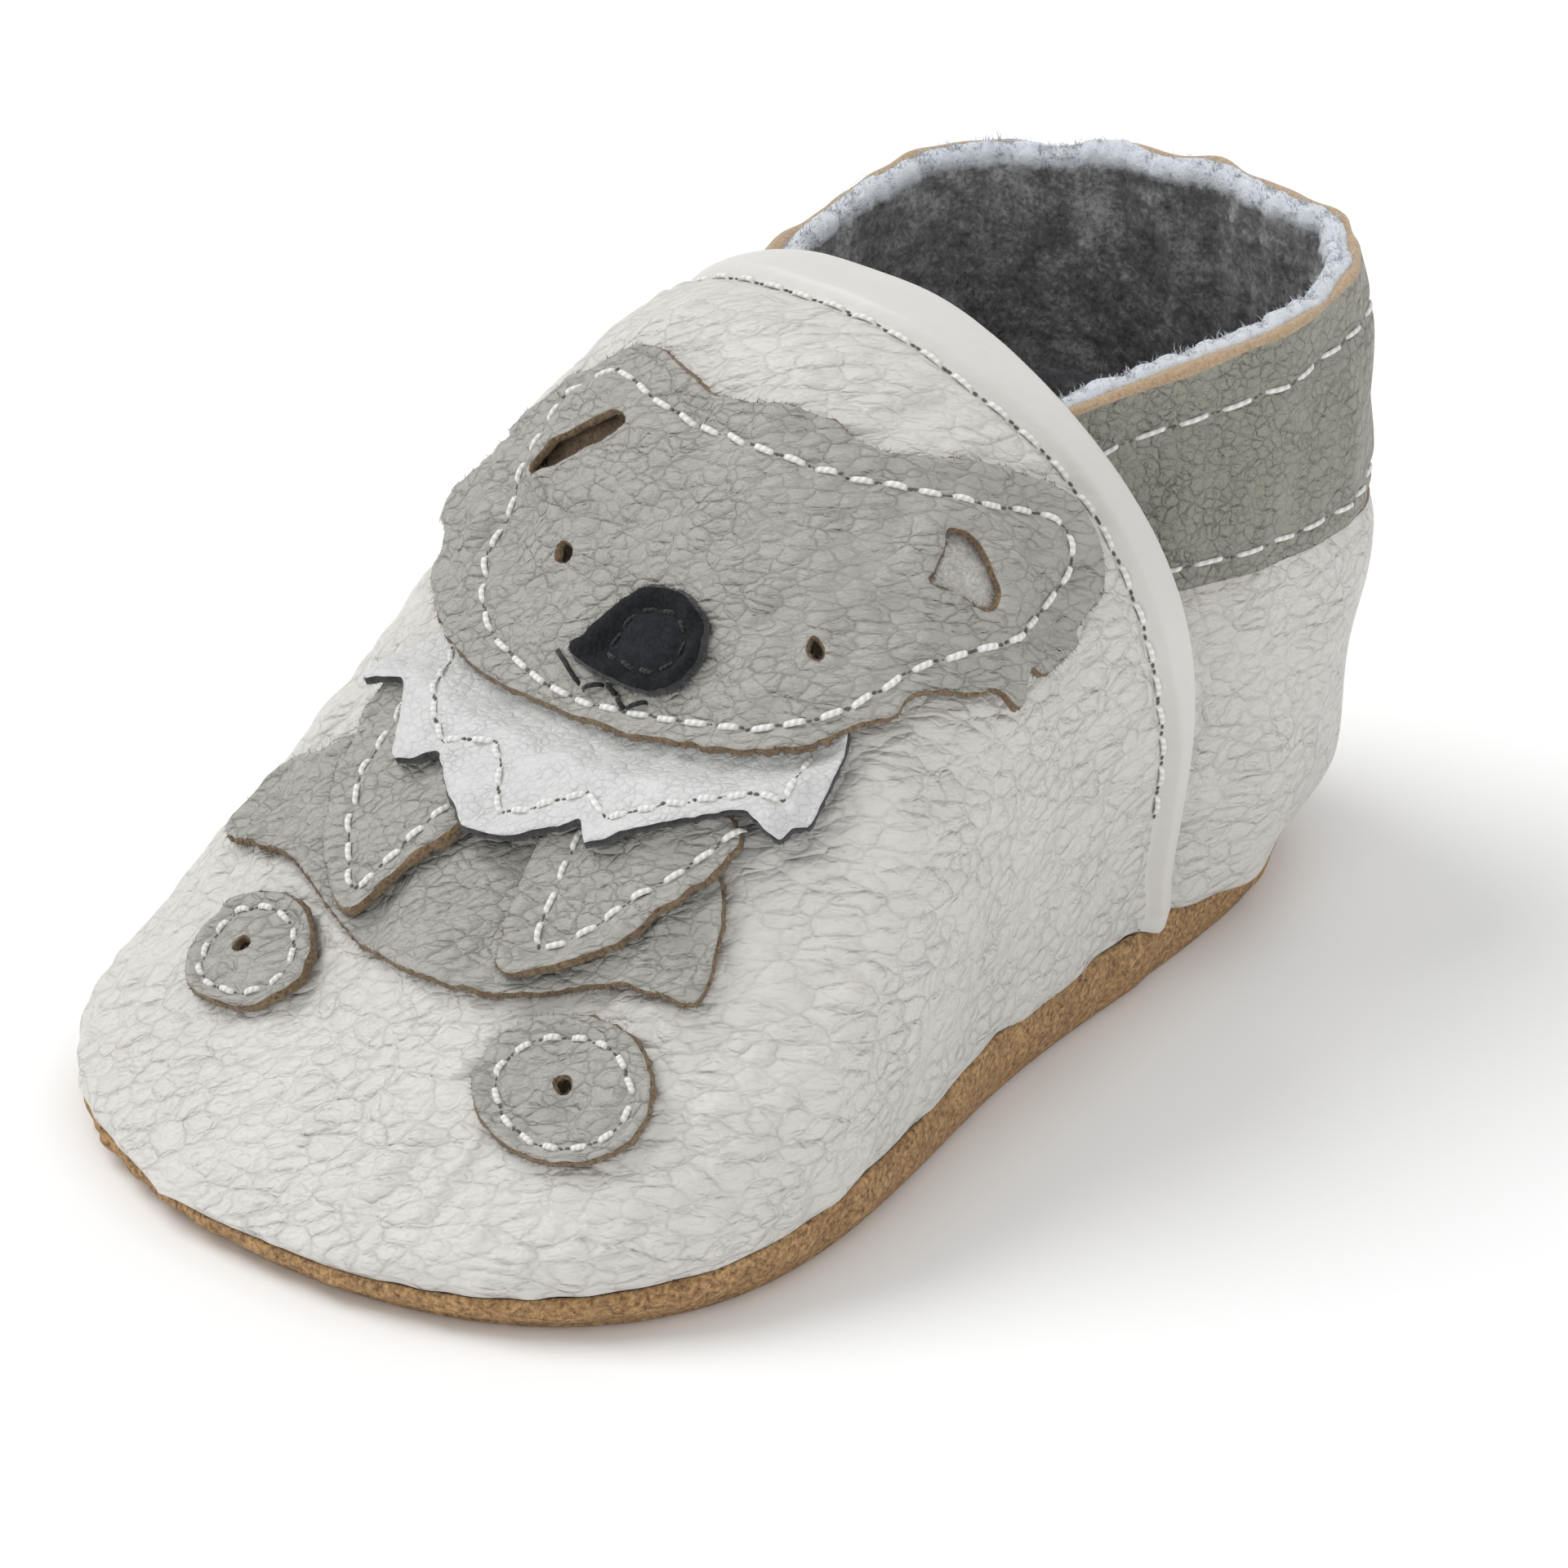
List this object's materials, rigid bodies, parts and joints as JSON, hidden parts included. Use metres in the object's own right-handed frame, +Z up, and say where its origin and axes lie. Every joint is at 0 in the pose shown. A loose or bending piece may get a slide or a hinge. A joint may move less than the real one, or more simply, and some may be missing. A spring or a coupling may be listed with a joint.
{
  "type": "baby bootie",
  "caption": "Soft-soled leather baby bootie with a stitched animal-face applique, turned throat edge and elasticated plush-lined ankle band.",
  "frame": {"origin": "centre of the bounding box in plan, at the level of the flat of the sole", "axes": "+X towards the toe, +Y towards the wearer's left (outer side of this left shoe), +Z up"},
  "size_m": [0.1291, 0.0736, 0.0641],
  "materials": {
    "suede_sole": "napped suede, tan with dark specks",
    "foam": "soft felted foam",
    "plush": "short mottled plush",
    "cream_leather": "pebbled soft leather, satin",
    "grey_leather": "pebbled soft leather, satin",
    "band_leather": "pebbled soft leather, satin",
    "white_leather": "fine-grained pearly leather",
    "black_suede": "black suede",
    "elastic": "woven elastic",
    "pale_thread": "waxed thread",
    "dark_thread": "waxed thread"
  },
  "bodies": {
    "shoe": {"outsole": "suede_sole", "sole_padding": "foam", "insole_sock": "plush", "vamp": "cream_leather", "vamp_lining": "plush", "heel_quarter": "cream_leather", "quarter_lining": "plush", "head_patch": "grey_leather", "nose_patch": "black_suede", "ear_inset_left": "white_leather", "ear_inset_right": "white_leather", "bib_patch": "white_leather", "body_patch": "grey_leather", "arm_patch_left": "grey_leather", "arm_patch_right": "grey_leather", "foot_disc_left": "grey_leather", "foot_disc_right": "grey_leather", "throat_stitches": "pale_thread", "head_stitches": "pale_thread", "nose_stitches": "dark_thread", "mouth_stitches": "dark_thread", "bib_stitches": "pale_thread", "arm_stitches": "pale_thread", "foot_stitches": "pale_thread"},
    "collar": {"collar_band": "band_leather", "collar_lining": "plush", "ankle_elastic": "elastic", "band_top_stitches": "pale_thread", "band_bottom_stitches": "pale_thread"}
  },
  "joints": [
    {"name": "collar_stretch", "type": "slide", "parent": "shoe", "child": "collar", "axis": [-1, 0, 0], "range_m": [0, 0.006], "stiffness_N_per_m": 250}
  ]
}
